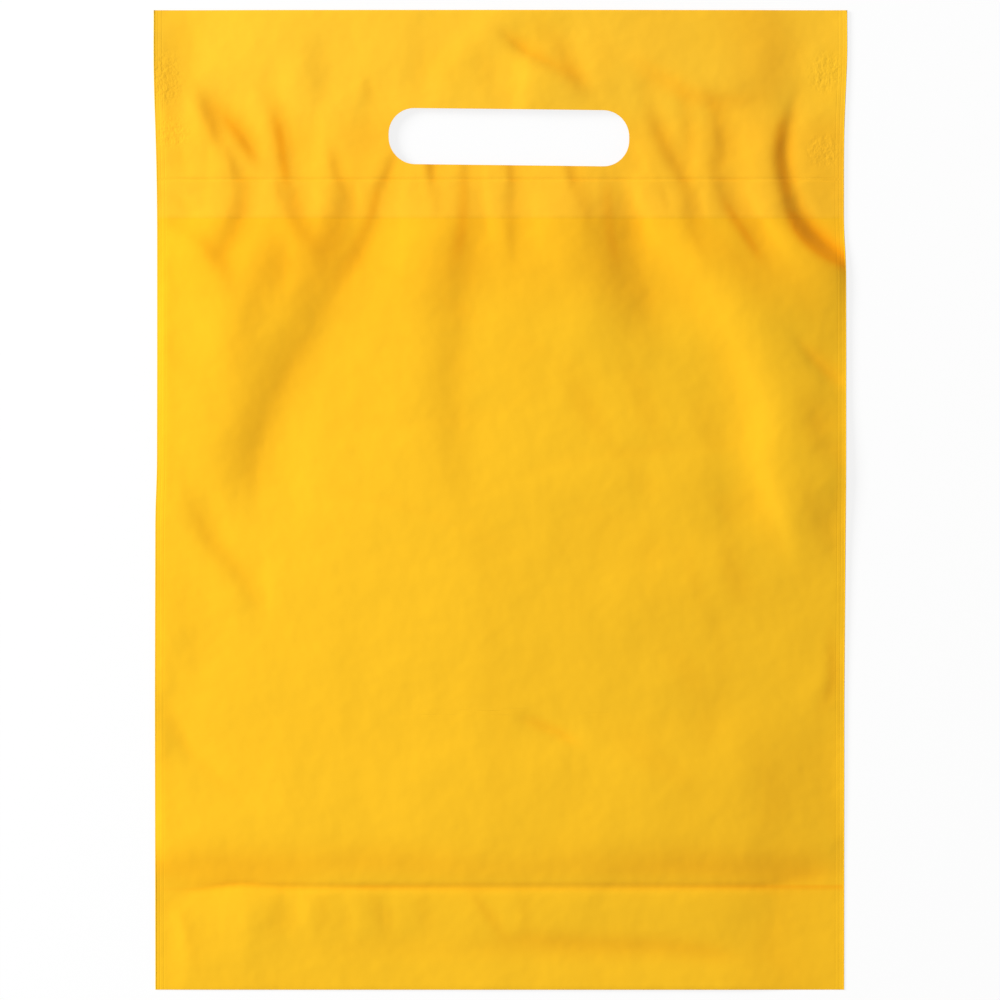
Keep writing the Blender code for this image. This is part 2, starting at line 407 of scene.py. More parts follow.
slope("right_pleat_band", 0.20, 10.5, (193, 74, 0.4), (195, 88), (197, 100), (199.5, 112), (205, 126),
      (212, 140, 0.8), (220, 154, 0.4))
crease("right_pleat", -0.6, 10, 18, (202, 76, 0.4), (205, 90), (208, 104), (213, 120), (219, 136, 0.8),
       (228, 152, 0.4))
slope("right_pleat_core", 0.05, 3.2, (197, 66), (197, 80), (197.5, 92), (200, 106), (203, 118, 0.6))
slope("right_ridge_face", -0.24, 10.5, (211, 78, 0.4), (217, 94, 0.7), (226, 107, 0.8), (238, 121, 0.9),
      (250, 140), (258, 160), (262, 180), (262, 200), (269, 221), (275, 236, 0.8))
slope("ridge_end", -0.12, 4.5, (266, 204), (270, 217), (274, 229), (278, 240))
slope("right_ridge_back", 0.09, 8, (262, 102, 0.6), (276, 118), (288, 134), (291, 152, 0.8),
      (289, 170, 0.7), (287, 184, 0.5), (287, 198, 0.1), (288, 208, 0.1), (290, 220, 0.2),
      (295, 240, 0.2))
slope("edge_pleat", 0.38, 3.4, (243, 66, 0.8), (247, 80, 0.7), (251, 88, 0.7), (256, 96), (261, 104, 0.8),
      (267, 113, 0.5))
slope("edge_pleat_back", 0.14, 6, (230, 88), (240, 98), (252, 108), (262, 120), (272, 134, 0.6))
crease("pinch_high", -1.0, 4.0, 5.0, (281, 30, 0.2), (278, 42, 0.6), (276, 54), (276, 66), (279, 78),
       (282, 90, 0.6))
crease("pinch_low", -0.9, 4.5, 5.0, (279, 76, 0.4), (282, 87), (286, 93), (292, 100), (299, 106),
       (312, 113))
slope("pinch_core", 0.66, 3.2, (278, 34, 0.2), (275.5, 46, 0.35), (272.5, 56, 0.62), (272, 66, 0.62),
      (274, 77, 0.6), (276.5, 86, 0.8), (280.5, 93, 0.8), (287, 99.5, 0.6), (295, 104, 0.4))
slope("pinch_foot", 0.84, 4.2, (277, 88, 0.3), (281.5, 95, 0.7), (287.5, 100.5), (294.5, 104.6, 0.95),
      (302.5, 108.6, 0.8), (316, 114.5, 0.6))
crease("pinch_swell", 1.3, 12, 12, (283, 76, 0.2), (290, 88), (298, 95, 0.7), (314, 104, 0.4))
slope("pinch_bulge", -0.06, 6, (260, 60, 0.5), (261, 76), (266, 92), (274, 106), (284, 120))
tell("the long pleats")

# %% [markdown]
# ### The front
#
# The front is one thin layer over air, so its folds are soft and far apart. Broad, weak slopes give
# it the slow change of light that a sheet never lacks, and a few sharp ones lie on top, most of them
# near the side welds, where the film can't move.

# %% folds: the front, left half
slope("cluster_a", 0.26, 3.8, (18, 95), (23, 104), (28, 111), (33, 120))
slope("cluster_b", 0.20, 9, (58, 90, 0.6), (52, 104), (46, 118), (40, 134), (34, 150, 0.9), (29, 170, 0.5))
slope("cluster_c", -0.06, 3, (62, 96), (60, 107), (58, 118), (57, 130))
slope("cluster_d", 0.12, 5.5, (50, 82), (50, 94), (50, 104), (49, 114))
slope("left_swell", -0.04, 8, (5, 94), (14, 118), (20, 134), (26, 150), (30, 164))
slope("edge_dip_a", 0.09, 6, (2, 134), (6, 148), (13, 157), (26, 164))
slope("low_fold_left", 0.24, 3.8, (11, 202), (16, 217), (21, 228), (29, 238), (36, 246), (41, 256),
      (43, 266))
slope("low_shine_left_a", -0.06, 3, (20, 202), (28, 216), (33, 234))
slope("low_shine_left_b", -0.10, 2.8, (48, 232), (49, 247), (50, 264))
slope("pleat_shine", -0.06, 5, (56, 176), (61, 195), (63, 212), (66, 232))
slope("left_field_lee", 0.05, 22, (84, 106, 0.4), (84, 138), (84, 172), (86, 204, 0.4))
slope("edge_dip_b", 0.07, 6, (0, 244), (10, 258), (14, 272), (12, 296))
crease("edge_dip_c", -0.8, 8, 6, (-4, 290), (5, 306), (13, 318), (24, 330, 0.7), (36, 340, 0.6),
       (50, 350, 0.4))
slope("left_edge_lee", 0.10, 3.6, (4, 96, 0.6), (4, 118, 1.8), (4, 140, 1.8), (4, 165, 1.8),
      (4, 200, 1.2), (4, 230, 0.4), (4, 280, 0.6), (4, 330, 1.2), (4, 372, 1.2))
tell("the front's left half")

# %% folds: the front, middle and right
crease("long_crest", 1.2, 40, 70, (136, 140, 0.0), (138, 180, 0.2), (140, 210, 0.5), (143, 250, 0.9),
       (145, 300), (146, 330), (147, 360, 0.7), (148, 400, 0.1))
slope("long_crest_face", 0.02, 4, (137, 222, 0.6), (143, 246), (146, 274), (148, 300), (150, 330),
      (152, 366))
slope("centre_field_lee", 0.07, 11, (157, 110, 0.5), (157, 135), (158, 158), (160, 176, 0.4))
crease("edge_fold_a", -1.2, 3.6, 3.6, (278, 141), (285, 150), (290, 155), (296, 160), (308, 167))
slope("edge_fold_a_lee", 0.14, 3, (281, 142), (288, 150), (295, 156), (306, 165))
slope("edge_fold_b", 0.14, 5, (279, 160), (283, 172), (287, 184), (294, 192), (306, 202))
slope("edge_fold_c", 0.10, 5, (280, 204), (286, 216), (291, 228), (296, 240))
crease("right_edge_dip", -1.2, 9, 9, (300, 158, 0.2), (300, 182, 0.6), (300, 195), (300, 208),
       (300, 225, 0.5), (300, 240, 0.2))
slope("middle_fold_a", 0.13, 4.4, (176, 154), (183, 168), (188, 177), (195, 187, 0.5), (205, 198, 0.3))
slope("middle_fold_b", 0.11, 4.4, (203, 150), (209, 166), (213, 177), (219, 190))
slope("middle_fold_c", 0.09, 4.4, (232, 166), (237, 178), (240, 186), (243, 194))
slope("right_field_face", -0.07, 16, (226, 160, 0.7), (224, 185, 0.8), (222, 215), (222, 255))
slope("middle_fold_d", 0.05, 4.4, (203, 190), (210, 202), (216, 214))
slope("middle_fold_e", -0.06, 7, (178, 206), (192, 212), (208, 218))
slope("middle_fold_f", 0.08, 3.0, (241, 208), (246, 216), (251, 224))
slope("middle_fold_g", 0.13, 4.6, (246, 228), (249, 238), (252, 248), (255, 260))
slope("middle_fold_h", 0.04, 5.5, (208, 226), (215, 242), (217, 256), (213, 272))
slope("middle_fold_i", 0.08, 3.4, (229, 232), (234, 246), (239, 260))
crease("low_wrinkle", -1.0, 3.4, 3.0, (158, 306), (168, 310), (177, 314), (186, 320))
slope("low_fold_a", 0.10, 5, (198, 314), (214, 324), (224, 330), (238, 340))
slope("low_fold_b", 0.05, 6, (232, 280), (238, 304), (236, 330))
slope("low_fold_c", 0.07, 4.4, (262, 320), (267, 336), (267, 348), (260, 362))
slope("low_fold_d", 0.08, 5, (219, 274), (229, 286), (238, 298))
slope("low_fold_e", 0.05, 5.5, (238, 252), (243, 272), (246, 290), (246, 312))
slope("low_right_sag", 0.10, 24, (272, 306), (274, 336), (274, 372))
slope("edge_nip", 0.26, 2.4, (293, 268), (294, 281), (294, 291), (289, 306))
tell("the front's middle and right")

# %% [markdown]
# ### The foot
#
# Below the gusset's inner fold the front lies on two more layers. It is smoother, with small ripples
# that stand upright. The level fold itself gets a slope above it, because the film sags there into
# the space where the gusset ends.

# %% folds: the gusset's inner fold, and the film below it
slope("foot_lee", 0.32, 7.5, (308, 372), (290, 371.5), (272, 371.5), (255, 371.5), (235, 370, 0.9),
      (210, 370.5, 0.8), (180, 371.5, 0.5), (150, 372.5, 0.5), (120, 370.5, 0.7), (95, 368.5, 0.7),
      (75, 370, 0.7), (40, 370, 0.9), (0, 370, 0.9), (-60, 370, 0.9))
slope("foot_curl", 0.13, 2.6, (-6, 390), (4, 389.5), (9, 391), (12.5, 395), (14.5, 401), (16, 407),
      (18, 413, 0.6), (20, 421, 0.3))
slope("foot_curl_face", -0.10, 4.5, (-6, 381), (4, 383), (8, 394), (9, 408), (10, 424))
crease("foot_swell", 2.3, 22, 60, (38, 364, 0.1), (40, 382, 0.9), (42, 400), (43, 420))
slope("foot_lens", 0.12, 4.5, (76, 378), (58, 376), (40, 375), (22, 377), (6, 379))
slope("foot_a", 0.09, 5, (53, 380), (53, 392), (51, 404))
slope("foot_b", -0.08, 2.8, (62, 379), (64, 390), (62, 402))
slope("foot_c", 0.08, 3, (72, 380), (73, 391), (71, 402))
slope("foot_d", -0.08, 2.8, (83, 379), (86, 390), (86, 402))
slope("foot_e", 0.10, 2.8, (92, 379), (97, 390), (100, 403))
slope("foot_f", -0.06, 2.8, (103, 381), (105, 391), (103, 401))
slope("foot_g", 0.08, 3, (116, 380), (117, 391), (117, 402))
slope("foot_h", 0.18, 2.4, (136, 380), (143, 390), (148, 397), (152, 404))
slope("foot_j", 0.08, 2.8, (160, 381), (161, 391), (161, 402))
slope("foot_shelf", 0.20, 3.8, (262, 413), (246, 408.5), (225, 405), (200, 404), (175, 403), (158, 402),
      (140, 406))
slope("foot_flat", -0.05, 6, (300, 413), (200, 412), (100, 411), (0, 411))
slope("foot_right_sag", 0.11, 22, (274, 366), (274, 400), (274, 450))
tell("the foot")

# %% [markdown]
# ## The air inside
#
# The bag isn't quite flat: a little air holds the front off the back. The front rises from the bottom
# in two steps, because the gusset's inner fold pulls it in, and it falls to the side welds. Towards
# the mouth the hem is stiffer and lies lower. The welds aren't straight either: they wander by a
# millimetre, and the folds that run into them lift them off the table, most of all at the right. A
# few values along each side are enough for that, if the line between them has no corners.

# %% the side welds, as a ruler finds them
SIDE_DOWN = (0, 20, 36, 50, 64, 80, 95, 108, 150, 200, 218, 300, 425)
LEFT_EDGE = (-0.4, -0.5, -0.2, 0.3, 0.7, 1.0, 1.1, 1.1, 1.1, 1.0, 0.3, 0.1, 0.3)
RIGHT_EDGE = (300.2, 300.3, 299.6, 299.0, 298.8, 298.8, 298.8, 299.7, 299.8, 299.7, 299.6, 299.0, 298.9)
LIFT_DOWN = (0, 40, 80, 98, 108, 118, 135, 170, 200, 230, 280, 300, 350, 366, 425)
LEFT_LIFT = (1.0, 1.4, 1.2, 1.3, 1.2, 1.2, 1.1, 1.0, 0.9, 0.7, 0.8, 0.9, 0.6, 0.4, 0.0)
RIGHT_LIFT = (0.8, 1.0, 0.8, 0.6, 1.6, 2.1, 1.6, 1.8, 3.2, 1.8, 1.0, 0.8, 0.5, 0.2, 0.0)
EASE_REACH, EASE_STEPS = 6, 5
print("the welds rise by up to", max(LEFT_LIFT), "mm at the left and", max(RIGHT_LIFT), "at the right")


def smooth(t):
    t = np.clip(t, 0, 1)
    return t * t * (3 - 2 * t)


def eased(down, places, values):
    """Values between the ones at these places, with no corner at any place."""
    offsets = np.linspace(-EASE_REACH, EASE_REACH, EASE_STEPS)
    return sum(np.interp(down + offset, places, values) for offset in offsets) / len(offsets)


# %% height of the back, which the welds lift at the sides
UNDERSIDE = 0.10
LIFT_REACH = 11.0


def back_height(across, down):
    left = eased(down, LIFT_DOWN, LEFT_LIFT) * np.exp(-across / LIFT_REACH)
    right = eased(down, LIFT_DOWN, RIGHT_LIFT) * np.exp(-(WIDTH - across) / LIFT_REACH)
    return UNDERSIDE + left + right


# %% height of the air between back and front
AIR = 6.2
AIR_MIDDLE = 176.0
FOOT_AIR, FOOT_START, FOOT_RISE = 2.4, 12.0, 36.0
BELLY_START, BELLY_RISE = 50.0, 190.0
HEM_AIR, HEM_AIR_START, HEM_AIR_REACH = 0.6, HEM_DEPTH + 25, 60.0
SIDE_FULLNESS = 2.1


def air_height(across, down):
    reach = np.where(across < AIR_MIDDLE, AIR_MIDDLE, WIDTH - AIR_MIDDLE)
    side = np.abs(across - AIR_MIDDLE) / reach
    up = HEIGHT - down
    rise = FOOT_AIR * smooth((up - FOOT_START) / FOOT_RISE)
    rise += (AIR - FOOT_AIR) * smooth((up - BELLY_START) / BELLY_RISE)
    hem = 1 - (1 - HEM_AIR) * smooth((HEM_AIR_START - down) / HEM_AIR_REACH)
    return rise * hem * np.clip(1 - side**SIDE_FULLNESS, 0, 1)


# %% [markdown]
# ### What the factory pressed in
#
# Three level lines are on every bag of this kind: the groove of the line weld, the small step where
# the hem's cut edge ends behind the front, and the fold of the gusset, which shows through from
# behind. The front keeps a small stand-off from the back for the layers between them, and wherever a
# fold would push it through the back it is stopped softly, so that layers never cross.

# %% the three level lines
WELD_GROOVE, WELD_HALF_WIDTH = 0.22, 0.55
HEM_STEP, HEM_STEP_WIDTH, HEM_STEP_FADE = 0.12, 0.5, 6
FOLD_LINE, FOLD_LINE_REACH = 0.95, 1.8
FOLD_LINE_DOWN = GUSSET_DOWN + 0.5
FOLD_SAG, FOLD_SAG_ACROSS, FOLD_SAG_WIDTH = 1.0, 10, 14
FOLD_RISE, FOLD_RISE_ACROSS, FOLD_RISE_WIDTH = 1.2, 38, 10


def gusset_line(across):
    """How far down the gusset's inner fold shows, which waves a little at the left."""
    sag = FOLD_SAG * np.exp(-(((across - FOLD_SAG_ACROSS) / FOLD_SAG_WIDTH) ** 2))
    rise = FOLD_RISE * np.exp(-(((across - FOLD_RISE_ACROSS) / FOLD_RISE_WIDTH) ** 2))
    return FOLD_LINE_DOWN + sag - rise


def pressed_lines(across, down):
    groove = -WELD_GROOVE * np.exp(-(((down - WELD_DOWN) / WELD_HALF_WIDTH) ** 2))
    below_hem = np.clip(down - HEM_DEPTH, 0, None)
    step = -HEM_STEP * smooth((down - HEM_DEPTH) / HEM_STEP_WIDTH) * np.exp(-below_hem / HEM_STEP_FADE)
    fold = -FOLD_LINE * np.exp(-np.abs(down - gusset_line(across)) / FOLD_LINE_REACH)
    return groove + step + fold


# %% height of the front
WELD_PULL = 4.0
STAND_OFF = 0.4
SOFT_STOP, LAYERS_BETWEEN = 0.3, 0.2


def side_distance(across):
    return np.minimum(across, WIDTH - across)


def front_height(across, down, folds_here):
    """The front above the table: the back, the air, and the folds, which all end at the side welds."""
    free = 1 - np.exp(-side_distance(across) / WELD_PULL)
    gap = air_height(across, down) + (STAND_OFF + folds_here + pressed_lines(across, down)) * free
    gap = 0.5 * (gap + np.sqrt(gap**2 + SOFT_STOP**2)) + LAYERS_BETWEEN
    return back_height(across, down) + gap


# %% [markdown]
# ## From blank to bag
#
# Now every point of the grid knows where it lies on the flat film and where it goes. Points whose row
# is between two layers get a height between them. The hand slot is cut from the grid itself: points
# near its outline are moved on to it, and what is left inside goes. A Boolean would need a closed
# solid, and a film has no inside. The layers behind get a slot that is a hair larger, so that no edge
# of theirs shows in the front one.

# %% the grid of points
across, down = np.meshgrid(np.linspace(0, WIDTH, COLUMNS + 1), row_down)
share = np.repeat(row_share[:, None], COLUMNS + 1, axis=1)
along = np.repeat(row_along[:, None], COLUMNS + 1, axis=1)
print("points", across.size)

# %% the slot's outline, as the distance from it
SLOT_SPREAD = 0.3
SNAP_SHARE, LARGEST_CELL = 0.52, 2.7
HAIR = 0.01


def slot_distance(across, down, spread):
    """Millimetres outside the slot's outline, negative inside it."""
    x = across - SLOT_ACROSS
    y = down - SLOT_DOWN - SLOT_TILT * x
    over_x = np.abs(x) - (SLOT_LENGTH / 2 - SLOT_CORNER)
    over_y = np.abs(y) - (SLOT_HEIGHT / 2 - SLOT_CORNER)
    outside = np.hypot(np.maximum(over_x, 0), np.maximum(over_y, 0))
    return outside + np.minimum(np.maximum(over_x, over_y), 0) - SLOT_CORNER - spread


def row_spacing():
    """The wider of the two gaps beside each row of the blank, for every point of the grid."""
    steps = np.abs(np.diff(row_down))
    before = np.concatenate([[steps[0]], steps])
    after = np.concatenate([steps, [steps[-1]]])
    return np.repeat(np.maximum(before, after)[:, None], COLUMNS + 1, axis=1)


def snapped_to_slot(across, down, spread):
    """Moves each point that is within about half a cell of the slot's outline on to it."""
    cell = np.maximum(WIDTH / COLUMNS, np.minimum(row_spacing(), LARGEST_CELL))
    distance = slot_distance(across, down, spread)
    wider_x = slot_distance(across + HAIR, down, spread) - slot_distance(across - HAIR, down, spread)
    wider_y = slot_distance(across, down + HAIR, spread) - slot_distance(across, down - HAIR, spread)
    near = np.abs(distance) < SNAP_SHARE * cell
    across = np.where(near, across - distance * (wider_x / (2 * HAIR)), across)
    down = np.where(near, down - distance * (wider_y / (2 * HAIR)), down)
    return across, down, near


slot_spread = SLOT_SPREAD * (share < FRONT)
across, down, on_outline = snapped_to_slot(across, down, slot_spread)
in_slot = (slot_distance(across, down, slot_spread) < 0) & ~on_outline
print("points on the slot's outline", int(on_outline.sum()), "and inside it", int(in_slot.sum()))

# %% heights, and places in the frame
fold_height, slope_painted_shade = folded(across, down)
front = front_height(across, down, fold_height)
back = back_height(across, down)
height = back + (front - back) * share
side_left, side_right = eased(down, SIDE_DOWN, LEFT_EDGE), eased(down, SIDE_DOWN, RIGHT_EDGE)
x = LEFT_X + (side_left + across / WIDTH * (side_right - side_left)) * MM
y = MOUTH_Y - down * MM
points = np.stack([x, y, height * MM], axis=-1)
print("front rises to", round(float(front.max()), 1), "mm")

# %% the film's mesh, with the slot cut out


def film_faces():
    """Quads of the grid, halved along the slot's outline where it passes from corner to corner."""
    wide = COLUMNS + 1
    faces = []
    flat_in, flat_on = in_slot.ravel(), on_outline.ravel()
    for row in range(len(blank) - 1):
        for column in range(COLUMNS):
            a = row * wide + column
            corners = [a, a + 1, a + 1 + wide, a + wide]
            inside = [flat_in[corner] for corner in corners]
            on = [flat_on[corner] for corner in corners]
            if not any(inside) and not all(on):
                faces.append(corners)
            elif sum(inside) == 1 and sum(on) == 2:
                faces.append([corner for corner, lost in zip(corners, inside) if not lost])
    return faces


faces = film_faces()
mesh = bpy.data.meshes.new("film")
mesh.from_pydata(points.reshape(-1, 3).tolist(), [], faces)
film = bpy.data.objects.new("film", mesh)
bpy.context.scene.collection.objects.link(film)
print(len(faces), "faces")

# %% [markdown]
# ### What the film remembers
#
# The material will want to know things that only the grid knows: where on the flat film a point lies,
# how much painted shade it gets, and whether the hem is behind it. A UV map carries the first, in
# metres, and two attributes carry the others. The painted shade follows how far the film lies below
# its own average, or how tight a tuck is, in which the film lies against itself, whichever is more.
# Two more drawn things of painted shade are added: that of the pressed slopes, and one over the strip
# that a hand gathers below the slot. Ridges stay at zero, so film that stands proud has the plain
# colour.

# %% the film's own coordinates
flat_map = mesh.uv_layers.new(name="flat_film")
corner_points = np.empty(len(mesh.loops), dtype=np.int32)
mesh.loops.foreach_get("vertex_index", corner_points)
flat_places = np.stack([across.ravel(), along.ravel()], axis=-1) * MM
flat_map.data.foreach_set("uv", flat_places[corner_points].ravel())
print("flat film measures", np.ptp(flat_places, axis=0).round(3).tolist(), "m")

# %% how deep the film lies below its own average
BLUR_REACH, BLUR_CELL = 5.0, 1.5
BLUR_ENDS = 3
LAST_CELL = 1.001
# The depth in millimetres below the film's own average that gets the full painted shade.
FULL_SHADE_DEPTH = 1.9


def blurred(field, reach):
    """A field of numbers, averaged over its neighbours, with more weight on the near ones."""
    steps = np.arange(-BLUR_ENDS * reach, BLUR_ENDS * reach + 1)
    weights = np.exp(-0.5 * (steps / reach) ** 2)
    weights /= weights.sum()
    edge = len(steps) // 2
    padded = np.pad(field, edge, mode="edge")
    rows = np.apply_along_axis(np.convolve, 0, padded, weights, mode="valid")
    return np.apply_along_axis(np.convolve, 1, rows, weights, mode="valid")


def sampled(field, across, down):
    """The field's value at any place, from the four cells round it."""
    column = np.clip(across / BLUR_CELL, 0, field.shape[1] - LAST_CELL)
    row = np.clip(down / BLUR_CELL, 0, field.shape[0] - LAST_CELL)
    left, top = column.astype(int), row.astype(int)
    right_share, low_share = column - left, row - top
    high_row = field[top, left] * (1 - right_share) + field[top, left + 1] * right_share
    low_row = field[top + 1, left] * (1 - right_share) + field[top + 1, left + 1] * right_share
    return high_row * (1 - low_share) + low_row * low_share


even_across, even_down = np.meshgrid(np.arange(0, WIDTH, BLUR_CELL), np.arange(0, HEIGHT, BLUR_CELL))
even_front = front_height(even_across, even_down, folded(even_across, even_down)[0])
even_depth = blurred(even_front, int(BLUR_REACH / BLUR_CELL)) - even_front
print("the deepest fold lies", round(float(even_depth.max()), 2), "mm below the film round it")

# %% painted shade along tucks: the half width of each, and the line that it follows with its strength at each point
PAINTED_TUCK_LINES = (
    (3.0, ((276, 40, 0.2), (273, 52, 0.35), (273, 64, 0.4), (276, 78, 0.45), (278, 86, 0.7))),
    (3.2, ((275.5, 82, 0.4), (278.5, 90, 0.7), (283, 97, 0.8), (290, 103.5, 0.8), (299, 109, 0.6),
           (312, 116, 0.5))),
    (3.0, ((134, 66, 0.2), (134, 82, 0.25), (133, 96, 0.25), (130, 110, 0.2))),
    (2.8, ((197, 70, 0.15), (197, 84, 0.2), (198, 96, 0.2), (201, 112, 0.15))),
    (2.4, ((97, 72, 0.25), (95, 84, 0.3), (91, 95, 0.15), (84, 106, 0.1))),
    (2.6, ((51, 40, 0.2), (54, 54, 0.4), (56, 70, 0.4), (57, 78, 0.2))),
    (2.6, ((26, 42, 0.2), (33, 50, 0.3), (39, 59, 0.3), (44, 66, 0.2))),
    (2.4, ((246, 78, 0.15), (251, 88, 0.3), (257, 97, 0.35), (264, 110, 0.2))),
    # Not a tuck: a wide band of painted shade over the hem's top right corner.
    (14.0, ((252, -30, 0.14), (256, 0, 0.14), (260, 20, 0.14), (256, 40, 0.12), (248, 56, 0.08))),
)
# Painted shade along the gusset's fold line, of this strength at these places across.
GUSSET_PAINTED_SHADE_ACROSS = (0, 20, 40, 62, 75, 92, 112, 140, 175, 205, 235, 262, 300)
GUSSET_PAINTED_SHADE = (0.1, 0.3, 0.15, 0.1, 0.25, 0.5, 0.4, 0.25, 0.15, 0.3, 0.4, 0.5, 0.5)
GUSSET_PAINTED_SHADE_WIDTH = 1.0


def near_line(across, down, half_width, points):
    """The line's strength on a drawn line, and less beside it."""
    places, directions, strengths, total = through(points)
    nearest = np.zeros_like(across)
    for start, end, strength in zip(places, places[1:], strengths):
        run = end - start
        share_along = ((across - start[0]) * run[0] + (down - start[1]) * run[1]) / (run @ run)
        share_along = np.clip(share_along, 0, 1)
        off = np.hypot(across - start[0] - share_along * run[0], down - start[1] - share_along * run[1])
        nearest = np.maximum(nearest, strength * np.exp(-((off / half_width) ** 2)))
    return nearest


def tuck_painted_shade(across, down):
    """Painted shade along the gusset's fold line and along drawn tight folds."""
    depth = np.interp(across, GUSSET_PAINTED_SHADE_ACROSS, GUSSET_PAINTED_SHADE)
    depth = depth * np.exp(-(((down - gusset_line(across)) / GUSSET_PAINTED_SHADE_WIDTH) ** 2))
    for half_width, points in PAINTED_TUCK_LINES:
        depth = np.maximum(depth, near_line(across, down, half_width, points))
    return depth


painted_tucks = tuck_painted_shade(across, down)
print(len(PAINTED_TUCK_LINES), "tucks touch", int((painted_tucks > 0.1).sum()), "points")

# %% painted shade over the strip that a hand gathers, and what is written to the mesh
GATHER_PAINTED_SHADE = 0.19
GATHER_START, GATHER_FULL, GATHER_LAST, GATHER_END = 38, 56, 108, 140
HEM_EDGE, HEM_EDGE_SOFTNESS = HEM_DEPTH + 0.5, 0.8


def gathered_strip_shade(down):
    """Painted shade, a little darker, over the strip below the slot that a hand gathers."""
    start = smooth((down - GATHER_START) / (GATHER_FULL - GATHER_START))
    return GATHER_PAINTED_SHADE * start * (1 - smooth((down - GATHER_LAST) / (GATHER_END - GATHER_LAST)))


def remember(name, values):
    attribute = mesh.attributes.new(name, "FLOAT", "POINT")
    attribute.data.foreach_set("value", values.astype(np.float32).ravel())
    print(name, "goes from", round(float(values.min()), 2), "to", round(float(values.max()), 2))


hem_behind = smooth((HEM_EDGE - down) / HEM_EDGE_SOFTNESS) * (share >= FRONT_HEM)
# The painted shade in all: darker in hollows and tucks, on pressed slopes and over the strip a hand
# gathers.
painted_shade_mask = sampled(even_depth, across, down) / FULL_SHADE_DEPTH
painted_shade_mask = np.maximum(painted_shade_mask, painted_tucks) + slope_painted_shade + gathered_strip_shade(down)
painted_shade_mask = np.clip(painted_shade_mask, 0, 1) * (share > LEAF_FOLD)
remember("hem_behind", hem_behind)
remember("painted_shade_mask", painted_shade_mask)

# %% the mesh, cleaned of points that meet and of loose ones
SAME_PLACE = 2e-6
tidy = bmesh.new()
tidy.from_mesh(mesh)
bmesh.ops.remove_doubles(tidy, verts=tidy.verts, dist=SAME_PLACE)
bmesh.ops.dissolve_degenerate(tidy, edges=tidy.edges, dist=SAME_PLACE)
loose = [vertex for vertex in tidy.verts if not vertex.link_faces]
bmesh.ops.delete(tidy, geom=loose, context="VERTS")
bmesh.ops.recalc_face_normals(tidy, faces=tidy.faces)
tidy.to_mesh(mesh)
tidy.free()
mesh.shade_smooth()
print("film has", sum(len(face.vertices) - 2 for face in mesh.polygons), "triangles")

# %% [markdown]
# ## The side welds
#
# A hot blade cuts each side and melts all the layers into one thin bead. A curve with a bevel could
# draw it, but a bead that follows the same two lines as the film, the wandering side and its lift,
# closes the film's edge for certain. So each bead is a ring of points, set down again and again.

# %% the beads of the side welds
BEAD_INSET, BEAD_LIFT = 0.1, 0.35
BEAD_HALF_WIDTH, BEAD_HALF_HEIGHT = 0.26, 0.10
BEAD_STATIONS, BEAD_SIDES = 160, 8


def bead_ring(across_place, ring_down):
    """The points of one ring, in the frame."""
    left = eased(ring_down, SIDE_DOWN, LEFT_EDGE)
    right = eased(ring_down, SIDE_DOWN, RIGHT_EDGE)
    middle_x = left + across_place / WIDTH * (right - left)
    middle_z = float(back_height(np.array(across_place), np.array(ring_down)) + BEAD_LIFT)
    ring = []
    for k in range(BEAD_SIDES):
        angle = 2 * math.pi * k / BEAD_SIDES
        bead_x = LEFT_X + (middle_x + BEAD_HALF_WIDTH * math.cos(angle)) * MM
        bead_z = (middle_z + BEAD_HALF_HEIGHT * math.sin(angle)) * MM
        ring.append((bead_x, MOUTH_Y - ring_down * MM, bead_z))
    return ring


def side_weld(name, across_place):
    """A flattened thread that runs down one side, where the hot blade cut and sealed every layer."""
    vertices = []
    for i in range(BEAD_STATIONS + 1):
        vertices += bead_ring(across_place, HEIGHT * i / BEAD_STATIONS)
    last = BEAD_STATIONS * BEAD_SIDES
    bead_faces = [list(range(BEAD_SIDES)), list(range(last, last + BEAD_SIDES))[::-1]]
    for i in range(BEAD_STATIONS):
        for k in range(BEAD_SIDES):
            a, b = i * BEAD_SIDES + k, i * BEAD_SIDES + (k + 1) % BEAD_SIDES
            bead_faces.append((a, b, b + BEAD_SIDES, a + BEAD_SIDES))
    bead_mesh = bpy.data.meshes.new(name)
    bead_mesh.from_pydata(vertices, [], bead_faces)
    bead_mesh.shade_smooth()
    bead = bpy.data.objects.new(name, bead_mesh)
    bpy.context.scene.collection.objects.link(bead)
    print(name, "has", len(bead_faces), "faces")
    return bead


left_weld = side_weld("left_side_weld", BEAD_INSET)
right_weld = side_weld("right_side_weld", WIDTH - BEAD_INSET)

# %% [markdown]
# ## The yellow film
#
# The film is a satin polyethylene, coloured right through. Light goes a little way in, so film with a
# second layer behind it looks lighter. Shade is painted into the colour too: film in a fold's hollow,
# in a tuck or on a pressed slope is mixed towards a darker orange. Scattering below the surface could
# show that orange too, but in a film this thin it is slow and noisy to render, and a colour that follows
# the folds can be read by other programs. Each effect is a node group with a plain job, and the material
# only joins them.

# %% helpers for node trees


def node_group(name, inputs, outputs):
    """An empty group with these sockets: (name, kind, default) each. Returns it with its two ends."""
    group = bpy.data.node_groups.new(name, "ShaderNodeTree")
    for socket_name, kind, default in inputs:
        socket = group.interface.new_socket(socket_name, in_out="INPUT", socket_type=kind)
        socket.default_value = default
    for socket_name, kind in outputs:
        group.interface.new_socket(socket_name, in_out="OUTPUT", socket_type=kind)
    print("node group", name)
    return group, group.nodes.new("NodeGroupInput"), group.nodes.new("NodeGroupOutput")


def math_node(tree, operation, first, second=None, clamp=False):
    """A Math node. Each operand is a socket or a number."""
    node = tree.nodes.new("ShaderNodeMath")
    node.operation = operation
    node.use_clamp = clamp
    for socket, operand in zip(node.inputs, (first, second)):
        if isinstance(operand, bpy.types.NodeSocket):
            tree.links.new(operand, socket)
        elif operand is not None:
            socket.default_value = operand
    return node.outputs[0]


